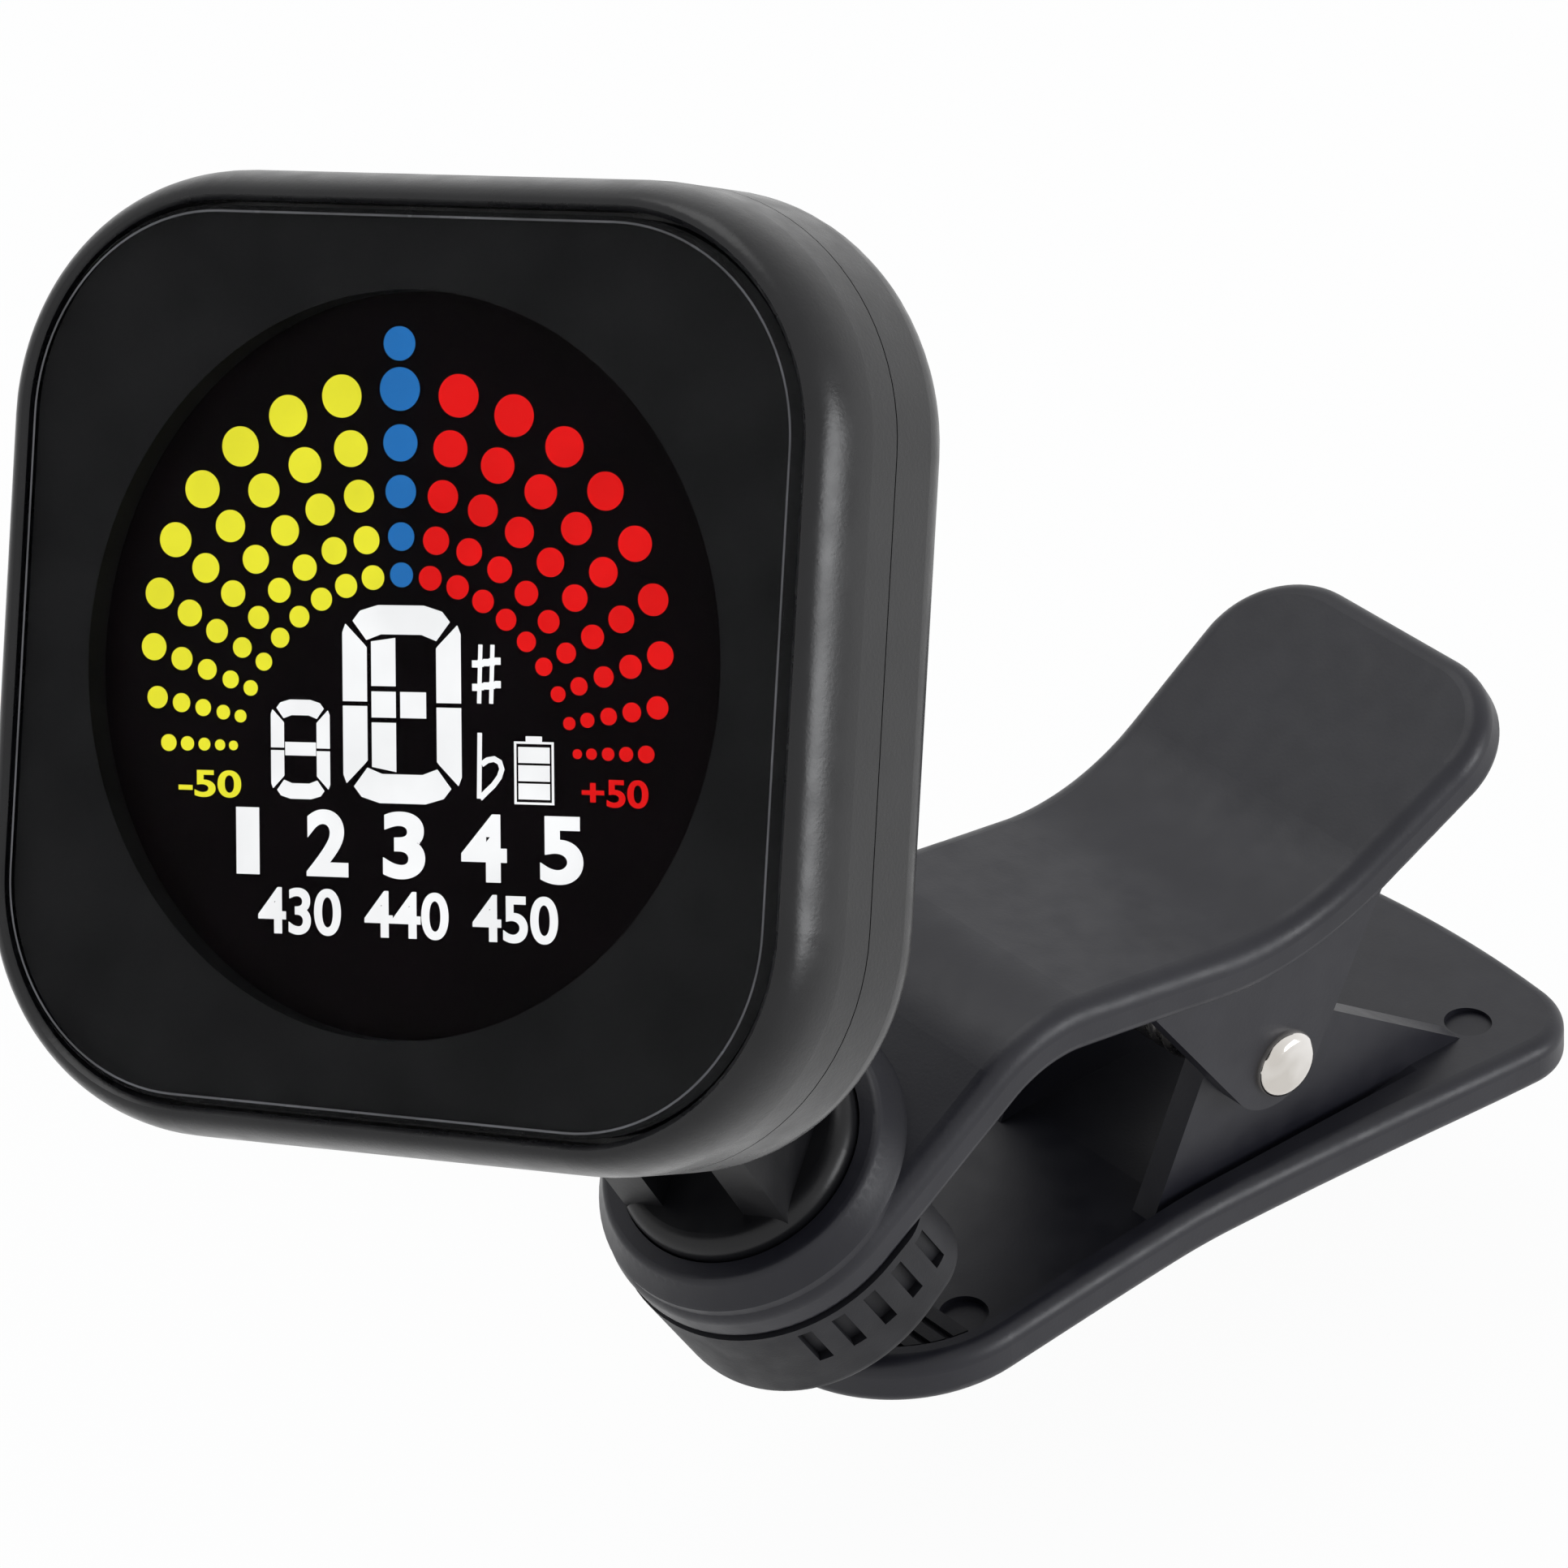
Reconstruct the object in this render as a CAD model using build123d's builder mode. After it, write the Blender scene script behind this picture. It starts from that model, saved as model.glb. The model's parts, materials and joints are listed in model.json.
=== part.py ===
"""Clip-on instrument tuner: a square display head on a swivel and a tilt hinge, on a sprung clip.

Frame, in millimetres: the origin is where the clip's jaws meet, +X runs along the clip from the
jaws to the finger tabs, +Y runs across the clip, and +Z is up, on the head's side of the clip.
"""

from build123d import *
from math import cos, degrees, radians, sin, tan
import os

os.makedirs("parts", exist_ok=True)

# ---- clip: driving dimensions ---------------------------------------------------------------
TIP_SLOPE = 28.5  # slope of the upper jaw, degrees
TIP_X = 3.3  # centre of the round jaw end, on the arm's underside
TIP_R = 8.4  # round end of the upper arm
ARM_T = 2.6  # edge height of both arms
ARM_FLOOR = 1.5  # plate thickness inside the rim of an arm
UPPER_KNEE = (14.13, 14.92)  # where the jaw slope meets the waist, before rounding
UPPER_SADDLE = (31.4, 10.7)  # where the waist meets the finger tab
UPPER_END = (48.7, 18.7)
KNEE_R = 6.3
SADDLE_R = 17.0
WAIST_HALF = 8.3  # half widths of the arms
TAB_HALF = 9.3
TAB_REACH = 43.1  # from the tip centre to the end of the finger tab, along the slope
TAB_CORNER = 5.0

PAD_T = 6.4  # upper rubber pad
PAD_R = 8.5
PAD_REACH = 3.9
PAD_CORNER = 2.6
PAD_WEDGE = 7.0  # degrees: the pad is thinner towards the throat
GROOVE_COUNT = 5
GROOVE_START = 1.9
GROOVE_DEPTH = 1.85  # middle of a groove, below the arm's underside
GROOVE_PITCH = 1.85
GROOVE_L = 2.7
GROOVE_W = 0.75

LOWER_FRONT = 2.5  # front of the lower arm: a 2 mm plate fits on the upper pad before it
LOWER_R = 8.3  # round end of the lower arm
LOWER_Z = -2.8  # underside of the lower arm
LOWER_BEND = 24.0  # where the lower arm starts to slope down to its tail
LOWER_TAIL_Z = -5.5
LOWER_LENGTH = 50.4
LOWER_TAIL_HALF = 9.7
LOWER_PAD_T = 0.9

PIVOT_X = 30.0
PIVOT_Z = 5.6
PIN_R = 1.2
PIN_PLAY = 0.05
UPPER_EAR_IN = 6.5  # inner and outer face of the upper arm's ears
UPPER_EAR_OUT = 8.0
LOWER_EAR_IN = 4.9
LOWER_EAR_OUT = 6.35
EAR_R = 3.1
LOWER_EAR_R = 3.7
SPRING_WIRE = 0.9
SPRING_R = 2.2
SPRING_TURNS = 4  # whole turns

LOWER_PAD_L = 5.4
RIVET_R = 1.85
RIVET_H = 0.75
SPRING_PITCH = 1.0
LOWER_LEG_ANGLE = 24.0  # the legs' slopes to the arms, degrees
UPPER_LEG_ANGLE = 36.0
LOWER_LEG = 12.0
UPPER_LEG = 11.7
ARM_ROUND = 1.1  # rounding of the arms' upper rims
POCKET_END = (45.2, 16.85)
TRAY_END = 41.0
TRAY_HALF = 6.9
TRAY_CUT = 5.0  # height of the cutter that opens the tray's round front
MARK_X = 45.6  # moulding marks on the lower tail
STEM_R = 2.2  # turret's stem through the upper arm

# ---- swivel and tilt hinge ------------------------------------------------------------------
SWIVEL = 24.8  # turn of the head about the jaw's normal, degrees
TILT = 29.2  # tilt of the head from that normal, degrees
COLLAR_R = 7.6
COLLAR_TOP = 4.1  # above the arm's underside
TURRET_R = 6.25
TURRET_TOP = 5.3
WELL_R = 6.35
WELL_FLOOR = 1.3
HINGE_H = 16.8  # hinge axis above the arm's underside
KNUCKLE_R = 3.2
KNUCKLE_HALF = 2.2
CLEVIS_IN = 2.25
CLEVIS_OUT = 4.5
HINGE_PIN_R = 1.1

WASHER_T = 0.4
CLEVIS_FOOT = 4.2
FLANGE_T = 1.3
NECK_SCREW_X = 4.4
NECK_UP = 2.0  # the flange's middle above the hinge line, along the head's back

# ---- head -----------------------------------------------------------------------------------
GLASS = 40.4  # side of the square front glass
GLASS_R = 9.8
GLASS_T = 0.7
GAP = 0.25  # between the glass and the bezel
RIM = 1.8  # from the glass edge to the outside of the housing
PARTING = 5.7  # parting line, below the glass
DEPTH = 11.8  # back of the housing, below the glass
WALL = 1.75
BACK_ROUND = 3.0
MASK_T = 1.35
DISPLAY_R = 16.7  # round window of the display
LEDGE_T = 1.4
LCD = 35.0
LCD_CORNER = 10.0
LCD_T = 1.05
GUIDE_T = 1.3
BOARD_T = 1.0
HEAD_RISE = 16.35  # head centre above the hinge, along the face
HEAD_OUT = 22.2  # glass in front of the hinge
BOSS_GRID = 28.0  # square of case screws
BOSS_R = 2.0
SCREW_R = 0.8
BUTTON_R = 4.2
BUTTON_Y = 9.5
BUTTON_PROUD = 0.45
BUTTON_STEM = 1.35
CASE_HEAD_R = 1.5
CASE_HEAD_T = 0.6
BOARD = 36.0
SEAM = 0.08  # gap of the parting line
PORT_Z = -7.5

TRAY_MIDDLE = LOWER_FRONT + LOWER_R  # centre of the lower arm's round front
HOUSING = GLASS + 2 * RIM
HOUSING_R = GLASS_R + RIM

# ---- planes ---------------------------------------------------------------------------------
slope = radians(TIP_SLOPE)


def jaw_slope_z(x):
    """Height of the upper jaw's underside."""
    return UPPER_KNEE[1] - (UPPER_KNEE[0] - x) * tan(slope)


def lower_z(x):
    """Height of the lower arm's underside."""
    fall = (LOWER_TAIL_Z - LOWER_Z) / (LOWER_LENGTH + 2 - LOWER_BEND)
    return LOWER_Z + max(0.0, x - LOWER_BEND) * fall


tip = Plane(
    origin=(TIP_X, 0, jaw_slope_z(TIP_X)),
    x_dir=(cos(slope), 0, sin(slope)),
    z_dir=(-sin(slope), 0, cos(slope)),
)
turret = Plane(tip.location * Location((0, 0, 0), (0, 0, SWIVEL - 90)))
hinge = Plane(turret.location * Location((0, 0, HINGE_H), (TILT, 0, 0)))
head = Plane(hinge.location * Location((0, HEAD_RISE, HEAD_OUT)))


def port_plane(depth):
    """A plane across the charging port, this far inside the housing's left side."""
    middle = head.from_local_coords((depth - HOUSING / 2, 0, PORT_Z))
    return Plane(origin=middle, x_dir=head.y_dir, z_dir=head.x_dir)



def section(plane):
    """The upright plane through a plane's origin: x along its x, y along its normal."""
    return Plane(origin=plane.origin, x_dir=plane.x_dir, z_dir=-plane.y_dir)


def across(plane):
    """The plane through a plane's origin and square to its x: x along its y, y along its normal."""
    return Plane(origin=plane.origin, x_dir=plane.y_dir, z_dir=plane.x_dir)


def rim_edges(builder, upward):
    """The outer edges of an arm's upper or lower skin, without the seams inside the skin."""
    skin = builder.faces().filter_by(lambda face: face.normal_at().Z * upward > 0.5)
    edges = [edge for face in skin for edge in face.edges()]
    return [edge for edge in edges if sum(edge.is_same(other) for other in edges) == 1]


parts = []


def finish(name, builder):
    """Label a finished piece and write it to its own file."""
    builder.part.label = name
    export_step(builder.part, f"parts/{name}.step")
    parts.append(builder.part)


# ---- upper arm ------------------------------------------------------------------------------
pocket_t = ARM_T - ARM_FLOOR

with BuildPart() as upper_arm:
    # a bent strip, cut to its outline square to the jaw's slope
    with BuildSketch(Plane.XZ):
        with BuildLine():
            FilletPolyline(
                (-8, jaw_slope_z(-8)), UPPER_KNEE, UPPER_SADDLE, UPPER_END, radius=[KNEE_R, SADDLE_R]
            )
            offset(amount=ARM_T, side=Side.LEFT)
        make_face()
    extrude(amount=TAB_HALF + 1, both=True)
    with BuildSketch(tip.offset(-30)):
        with BuildLine():
            CenterArc((0, 0), TIP_R, 90, 180)
            for side in (1, -1):
                Spline(
                    (0, side * TIP_R),
                    (16, side * WAIST_HALF),
                    (32, side * (TAB_HALF - 0.5)),
                    (TAB_REACH, side * TAB_HALF),
                    tangents=[(1, 0), (1, 0)],
                )
            Line((TAB_REACH, TAB_HALF), (TAB_REACH, -TAB_HALF))
        outline = make_face()
        fillet(outline.vertices().sort_by(Axis.X)[-2:], TAB_CORNER)
    extrude(amount=60, mode=Mode.INTERSECT)
    fillet(rim_edges(upper_arm, 1), ARM_ROUND)
    fillet(rim_edges(upper_arm, -1), ARM_ROUND / 2)
    # the shallow pocket under the arm, inside its rim
    with BuildSketch(Plane.XZ):
        with BuildLine():
            FilletPolyline(
                (10, jaw_slope_z(10)), UPPER_KNEE, UPPER_SADDLE, POCKET_END, radius=[KNEE_R, SADDLE_R]
            )
            offset(amount=pocket_t, side=Side.LEFT)
        make_face()
    extrude(amount=UPPER_EAR_IN, both=True, mode=Mode.SUBTRACT)
    # the two ears that hold the pivot pin
    for far_face in (-UPPER_EAR_OUT, UPPER_EAR_IN):
        with BuildSketch(Plane.XZ.offset(-far_face)):
            with BuildLine():
                FilletPolyline(
                    (PIVOT_X - 9.0, 14.0), (PIVOT_X - 0.3, PIVOT_Z - 5.2), (PIVOT_X + 9.2, 16.0), radius=EAR_R
                )
                Polyline((PIVOT_X + 9.2, 16.0), (PIVOT_X, 13.4), (PIVOT_X - 9.0, 14.0))
            make_face()
        extrude(amount=-(UPPER_EAR_OUT - UPPER_EAR_IN))
    # the collar around the swivel, and its well
    with BuildSketch(section(tip)):
        with BuildLine():
            Polyline((0, 0.8), (COLLAR_R + 0.6, 0.8), (COLLAR_R + 0.6, ARM_T))
            Spline(
                (COLLAR_R + 0.6, ARM_T),
                (COLLAR_R, COLLAR_TOP - 0.6),
                (COLLAR_R - 0.55, COLLAR_TOP),
                tangents=[(-0.5, 1), (-1, 0)],
            )
            Polyline((COLLAR_R - 0.55, COLLAR_TOP), (0, COLLAR_TOP), (0, 0.8))
        make_face()
    revolve(axis=Axis(tip.origin, tip.z_dir))
    with BuildSketch(tip.offset(WELL_FLOOR)):
        Circle(WELL_R)
    extrude(amount=10, mode=Mode.SUBTRACT)
    with BuildSketch(tip.offset(-1)):
        Circle(STEM_R + PIN_PLAY)
    extrude(amount=5, mode=Mode.SUBTRACT)
    with Locations((PIVOT_X, 0, PIVOT_Z)):
        Cylinder(PIN_R, 30, rotation=(90, 0, 0), mode=Mode.SUBTRACT)
finish("upper_arm", upper_arm)

# ---- upper pad: a rubber wedge with a row of grooves along each side -------------------------
with BuildPart() as upper_pad:
    with BuildSketch(tip):
        with BuildLine():
            CenterArc((0, 0), PAD_R, 90, 180)
            Polyline((0, PAD_R), (PAD_REACH, PAD_R), (PAD_REACH, -PAD_R), (0, -PAD_R))
        pad_face = make_face()
        fillet(pad_face.vertices().sort_by(Axis.X)[-2:], PAD_CORNER)
    extrude(amount=-PAD_T)
    # the grip face rises towards the throat
    wedge_rise = (PAD_REACH + PAD_R) * tan(radians(PAD_WEDGE))
    with BuildSketch(section(tip)):
        with BuildLine():
            Polyline(
                (-PAD_R, -PAD_T), (PAD_REACH, wedge_rise - PAD_T), (PAD_REACH, -PAD_T), (-PAD_R, -PAD_T),
            )
        make_face()
    extrude(amount=PAD_R, both=True, mode=Mode.SUBTRACT)
    fillet(upper_pad.faces().sort_by(Axis(tip.origin, tip.z_dir))[0].edges(), 0.7)
    # room for the head of the turret's screw
    with BuildSketch(tip):
        Circle(4.6)
    extrude(amount=-2.2, mode=Mode.SUBTRACT)
    for side in (1, -1):
        for number in range(GROOVE_COUNT):
            along = GROOVE_START - number * GROOVE_PITCH
            turn = max(0.0, -along) / PAD_R
            spot = (max(0.0, along) - PAD_R * sin(turn), side * PAD_R * cos(turn), -GROOVE_DEPTH)
            with Locations(tip.location * Location(spot, (0, 0, side * degrees(turn)))):
                Box(GROOVE_W, 1.0, GROOVE_L, mode=Mode.SUBTRACT)
finish("upper_pad", upper_pad)

# ---- lower arm ------------------------------------------------------------------------------
with BuildPart() as lower_arm:
    with BuildSketch(Plane.XZ):
        with BuildLine():
            FilletPolyline((-4, LOWER_Z), (LOWER_BEND, LOWER_Z), (LOWER_LENGTH + 2, LOWER_TAIL_Z), radius=40)
            offset(amount=ARM_T, side=Side.LEFT)
        make_face()
    extrude(amount=LOWER_TAIL_HALF + 1, both=True)
    with BuildSketch(Plane.XY.offset(-10)):
        with BuildLine():
            CenterArc((LOWER_FRONT + LOWER_R, 0), LOWER_R, 90, 180)
            for side in (1, -1):
                Spline(
                    (LOWER_FRONT + LOWER_R, side * LOWER_R),
                    (24, side * (WAIST_HALF + 0.1)),
                    (40, side * (LOWER_TAIL_HALF - 0.5)),
                    (LOWER_LENGTH, side * LOWER_TAIL_HALF),
                    tangents=[(1, 0), (1, 0)],
                )
            ThreePointArc(
                (LOWER_LENGTH, LOWER_TAIL_HALF), (LOWER_LENGTH + 0.9, 0), (LOWER_LENGTH, -LOWER_TAIL_HALF)
            )
        outline = make_face()
        fillet(outline.vertices().sort_by(Axis.X)[-2:], TAB_CORNER - 1)
    extrude(amount=20, mode=Mode.INTERSECT)
    fillet(rim_edges(lower_arm, 1), ARM_ROUND * 0.8)
    fillet(rim_edges(lower_arm, -1), ARM_ROUND * 0.6)
    # the tray between the rims: round at the front, with a slope up to the finger tab
    with BuildSketch(Plane.XY.offset(LOWER_Z + ARM_FLOOR)):
        with Locations((TRAY_MIDDLE, 0)):
            Circle(TRAY_HALF)
    extrude(amount=TRAY_CUT, mode=Mode.SUBTRACT)
    with BuildSketch(Plane.XZ):
        with BuildLine():
            Polyline(
                (TRAY_MIDDLE, 3), (TRAY_MIDDLE, LOWER_Z + ARM_FLOOR), (LOWER_BEND, LOWER_Z + ARM_FLOOR),
                (TRAY_END - 6, lower_z(TRAY_END - 6) + ARM_FLOOR),
                (TRAY_END, lower_z(TRAY_END) + ARM_T + 0.1), (TRAY_END, 3), close=True,
            )
        make_face()
    extrude(amount=TRAY_HALF, both=True, mode=Mode.SUBTRACT)
    # the two cheeks that turn on the pivot pin
    for far_face in (-LOWER_EAR_OUT, LOWER_EAR_IN):
        with BuildSketch(Plane.XZ.offset(-far_face)):
            with BuildLine():
                cheek_end = (PIVOT_X + 16, lower_z(PIVOT_X + 16) + 1.4)
                cheek_start = (PIVOT_X - 8, LOWER_Z + 1.0)
                FilletPolyline(
                    cheek_start, (PIVOT_X - 1.6, PIVOT_Z + LOWER_EAR_R + 1.0), cheek_end,
                    radius=LOWER_EAR_R,
                )
                Line(cheek_end, cheek_start)
            make_face()
        extrude(amount=-(LOWER_EAR_OUT - LOWER_EAR_IN))
    # sink marks of the moulding pins
    with Locations(
        (11.0, 4.6, LOWER_Z + ARM_FLOOR), (11.0, -4.6, LOWER_Z + ARM_FLOOR),
        (MARK_X, 5.6, lower_z(MARK_X) + ARM_T), (MARK_X, -5.6, lower_z(MARK_X) + ARM_T),
    ):
        Cylinder(1.25, 0.7, mode=Mode.SUBTRACT)
    with Locations((PIVOT_X, 0, PIVOT_Z)):
        Cylinder(PIN_R + PIN_PLAY, 30, rotation=(90, 0, 0), mode=Mode.SUBTRACT)
finish("lower_arm", lower_arm)

# ---- lower pad: a thin rubber sheet in the lower jaw's tray ----------------------------------
pad_front = TRAY_MIDDLE - (TRAY_HALF - 0.3)
with BuildPart() as lower_pad:
    with BuildSketch(Plane.XY.offset(LOWER_Z + ARM_FLOOR)):
        with Locations((TRAY_MIDDLE, 0)):
            Circle(TRAY_HALF - 0.3)
        with Locations((pad_front + LOWER_PAD_L / 2, 0)):
            Rectangle(LOWER_PAD_L, 2 * TRAY_HALF, mode=Mode.INTERSECT)
    extrude(amount=LOWER_PAD_T)
    for number in range(4):
        with Locations((pad_front + 1.1 * (number + 1), 0, LOWER_Z + ARM_FLOOR + LOWER_PAD_T)):
            Box(0.4, 2 * TRAY_HALF, 0.5, mode=Mode.SUBTRACT)
finish("lower_pad", lower_pad)

# ---- pivot pin: a rivet with a domed head on each side --------------------------------------
with BuildPart() as pivot_pin:
    with Locations((PIVOT_X, 0, PIVOT_Z)):
        Cylinder(PIN_R, 2 * UPPER_EAR_OUT, rotation=(90, 0, 0))
    with Locations(
        (PIVOT_X, UPPER_EAR_OUT + RIVET_H / 2, PIVOT_Z),
        (PIVOT_X, -UPPER_EAR_OUT - RIVET_H / 2, PIVOT_Z),
    ):
        Cylinder(RIVET_R, RIVET_H, rotation=(90, 0, 0))
    ends = pivot_pin.edges().group_by(Axis.Y)
    fillet(ends[0] + ends[-1], RIVET_H * 0.9)
finish("pivot_pin", pivot_pin)

# ---- torsion spring: a coil round the pin, with one leg under each finger tab ----------------
# A coil that winds from the lower leg's direction to the upper leg's, placed by algebra because
# a helix always starts on its own zero line.
lower_start = 270 - LOWER_LEG_ANGLE
upper_end = 90 + UPPER_LEG_ANGLE
spring_turns = SPRING_TURNS + (lower_start - upper_end) / 360
spring_coil = Location((PIVOT_X, 0, PIVOT_Z), (0, 90 - lower_start, 0)) * Helix(
    pitch=SPRING_PITCH, height=spring_turns * SPRING_PITCH, radius=SPRING_R,
    center=(0, -spring_turns * SPRING_PITCH / 2, 0), direction=(0, 1, 0),
)

with BuildPart() as torsion_spring:
    with BuildSketch(Plane(origin=spring_coil @ 0, z_dir=spring_coil % 0)):
        Circle(SPRING_WIRE / 2)
    sweep(path=spring_coil, is_frenet=True)
    with BuildSketch(Plane(origin=spring_coil @ 0, z_dir=(spring_coil % 0) * -1)):
        Circle(SPRING_WIRE / 2)
    extrude(amount=LOWER_LEG)
    with BuildSketch(Plane(origin=spring_coil @ 1, z_dir=spring_coil % 1)):
        Circle(SPRING_WIRE / 2)
    extrude(amount=UPPER_LEG)
finish("torsion_spring", torsion_spring)

# ---- swivel: washer, turret and its screw ---------------------------------------------------
with BuildPart() as friction_washer:
    with BuildSketch(tip.offset(WELL_FLOOR)):
        Circle(WELL_R - 0.2)
        Circle(STEM_R + 0.15, mode=Mode.SUBTRACT)
    extrude(amount=WASHER_T)
finish("friction_washer", friction_washer)

turret_base = WELL_FLOOR + WASHER_T
with BuildPart() as swivel_turret:
    with BuildSketch(turret.offset(turret_base)):
        Circle(TURRET_R)
    extrude(amount=TURRET_TOP - turret_base)
    fillet(swivel_turret.faces().sort_by(Axis(turret.origin, turret.z_dir))[-1].edges(), 0.9)
    with BuildSketch(turret):
        Circle(STEM_R)
    extrude(amount=turret_base)
    # two ears for the tilt hinge
    for inner_face in (CLEVIS_IN, -CLEVIS_OUT):
        with BuildSketch(across(turret).offset(inner_face)):
            with BuildLine():
                CenterArc((0, HINGE_H), KNUCKLE_R, 0, 180)
                Polyline(
                    (-KNUCKLE_R, HINGE_H), (-CLEVIS_FOOT, TURRET_TOP - 0.6), (CLEVIS_FOOT, TURRET_TOP - 0.6)
                )
                Line((CLEVIS_FOOT, TURRET_TOP - 0.6), (KNUCKLE_R, HINGE_H))
            make_face()
        extrude(amount=CLEVIS_OUT - CLEVIS_IN)
    with BuildSketch(across(hinge).offset(-CLEVIS_OUT)):
        Circle(HINGE_PIN_R)
    extrude(amount=2 * CLEVIS_OUT, mode=Mode.SUBTRACT)
    with BuildSketch(turret.offset(-1)):
        Circle(SCREW_R)
    extrude(amount=5.0, mode=Mode.SUBTRACT)
finish("swivel_turret", swivel_turret)

with BuildPart() as turret_screw:
    with BuildSketch(turret):
        Circle(3.6)
    extrude(amount=-0.5)
    with BuildSketch(turret.offset(-0.5)):
        Circle(1.7)
    extrude(amount=-1.1)
    with BuildSketch(turret):
        Circle(SCREW_R)
    extrude(amount=3.6)
    with BuildSketch(turret.offset(-1.6)):
        Rectangle(0.4, 2.2)
        Rectangle(2.2, 0.4)
    extrude(amount=0.6, mode=Mode.SUBTRACT)
finish("turret_screw", turret_screw)

with BuildPart() as tilt_pin:
    with BuildSketch(across(hinge).offset(-CLEVIS_OUT)):
        Circle(HINGE_PIN_R)
    extrude(amount=2 * CLEVIS_OUT)
    for inner_face in (CLEVIS_OUT, -CLEVIS_OUT - 0.6):
        with BuildSketch(across(hinge).offset(inner_face)):
            Circle(1.8)
        extrude(amount=0.6)
finish("tilt_pin", tilt_pin)

# ---- neck: knuckle, tapering post and flange on the head's back ------------------------------
neck_length = HEAD_OUT - DEPTH
with BuildPart() as tilt_neck:
    with BuildSketch(across(hinge).offset(-KNUCKLE_HALF)):
        Circle(KNUCKLE_R - 0.1)
    extrude(amount=2 * KNUCKLE_HALF)
    with BuildSketch(hinge):
        RectangleRounded(2 * KNUCKLE_HALF, 5.0, 0.8)
    extrude(amount=5.5)
    with BuildSketch(hinge.offset(5.0)):
        RectangleRounded(2 * KNUCKLE_HALF, 5.0, 0.8)
    with BuildSketch(hinge.offset(neck_length - FLANGE_T)):
        with Locations((0, NECK_UP)):
            RectangleRounded(8.0, 7.6, 2.2)
    loft()
    with BuildSketch(hinge.offset(neck_length - FLANGE_T)):
        with Locations((0, NECK_UP)):
            RectangleRounded(13.0, 9.0, 3.2)
    extrude(amount=FLANGE_T)
    with BuildSketch(across(hinge).offset(-10)):
        Circle(HINGE_PIN_R + PIN_PLAY)
    extrude(amount=20, mode=Mode.SUBTRACT)
    with BuildSketch(hinge.offset(neck_length)):
        with Locations((NECK_SCREW_X, NECK_UP), (-NECK_SCREW_X, NECK_UP)):
            Circle(SCREW_R)
    extrude(amount=-3.2, mode=Mode.SUBTRACT)
finish("tilt_neck", tilt_neck)

# ---- head housing ---------------------------------------------------------------------------
half = GLASS / 2
boss_spots = [(x, y) for x in (-BOSS_GRID / 2, BOSS_GRID / 2) for y in (-BOSS_GRID / 2, BOSS_GRID / 2)]
mask_z = -GLASS_T - MASK_T
ledge_z = mask_z - LEDGE_T
rim_start = Plane(origin=head.from_local_coords((half, 0, 0)), x_dir=head.x_dir, z_dir=-head.y_dir)


with BuildSketch(head) as glass_outline:
    RectangleRounded(GLASS, GLASS, GLASS_R)

with BuildPart() as front_bezel:
    # the rim: one rounded section carried round the glass
    with BuildSketch(rim_start):
        with BuildLine():
            crest = GAP + 0.25
            Polyline((RIM, -PARTING), (GAP, -PARTING), (GAP, -0.25), (crest, 0))
            EllipticalCenterArc((crest, -3.6), RIM - crest, 3.6, start_angle=0, arc_size=90)
            Line((RIM, -3.6), (RIM, -PARTING))
        make_face()
    sweep(path=glass_outline.sketch.face().outer_wire())
    # the ledge under the mask, open for the display, with a boss at each corner
    with BuildSketch(head.offset(ledge_z)):
        RectangleRounded(GLASS + 2 * GAP + 0.4, GLASS + 2 * GAP + 0.4, GLASS_R + GAP + 0.2)
        Rectangle(LCD + 1.4, LCD + 1.4, mode=Mode.SUBTRACT)
    extrude(amount=LEDGE_T)
    with BuildSketch(head.offset(ledge_z)):
        for x, y in boss_spots:
            with BuildLine():
                corner = (LCD + 1.4) / 2 + 0.2
                sign_x, sign_y = x / abs(x), y / abs(y)
                reach = corner - LCD_CORNER - 0.9
                Polyline(
                    (sign_x * corner, sign_y * corner), (sign_x * reach, sign_y * corner),
                    (sign_x * corner, sign_y * reach), close=True,
                )
            make_face()
    extrude(amount=LEDGE_T)
    with BuildSketch(head.offset(ledge_z + 0.1)):
        with Locations(*boss_spots):
            Circle(BOSS_R)
    extrude(amount=-(DEPTH - WALL + ledge_z - 0.02))
    with BuildSketch(head.offset(-DEPTH)):
        with Locations(*boss_spots):
            Circle(SCREW_R)
    extrude(amount=DEPTH + ledge_z - 1.0, mode=Mode.SUBTRACT)
finish("front_bezel", front_bezel)

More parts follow.
